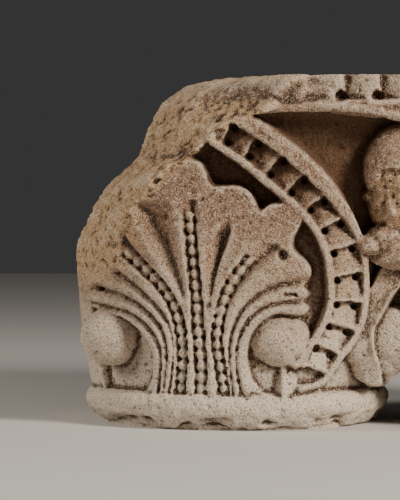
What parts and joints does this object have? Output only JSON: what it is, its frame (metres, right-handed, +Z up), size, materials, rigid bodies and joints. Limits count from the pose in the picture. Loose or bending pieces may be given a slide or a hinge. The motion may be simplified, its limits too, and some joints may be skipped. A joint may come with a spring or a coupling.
{
  "type": "double column capital",
  "caption": "Weathered carved stone capital for a pair of columns: beaded palmettes, curled lobes, drilled ladder bands and a worn head under an oblong abacus, with one end broken.",
  "frame": {"origin": "middle of the bounding box at the underside, on the plane that the rings stand on", "axes": "+X along the long face to the unbroken end, -Y out of the carved front, +Z up"},
  "size_m": [0.576, 0.3, 0.3],
  "materials": {
    "limestone": "weathered carved limestone with brown patina"
  },
  "bodies": {
    "root": {"capital": "limestone"}
  },
  "joints": []
}
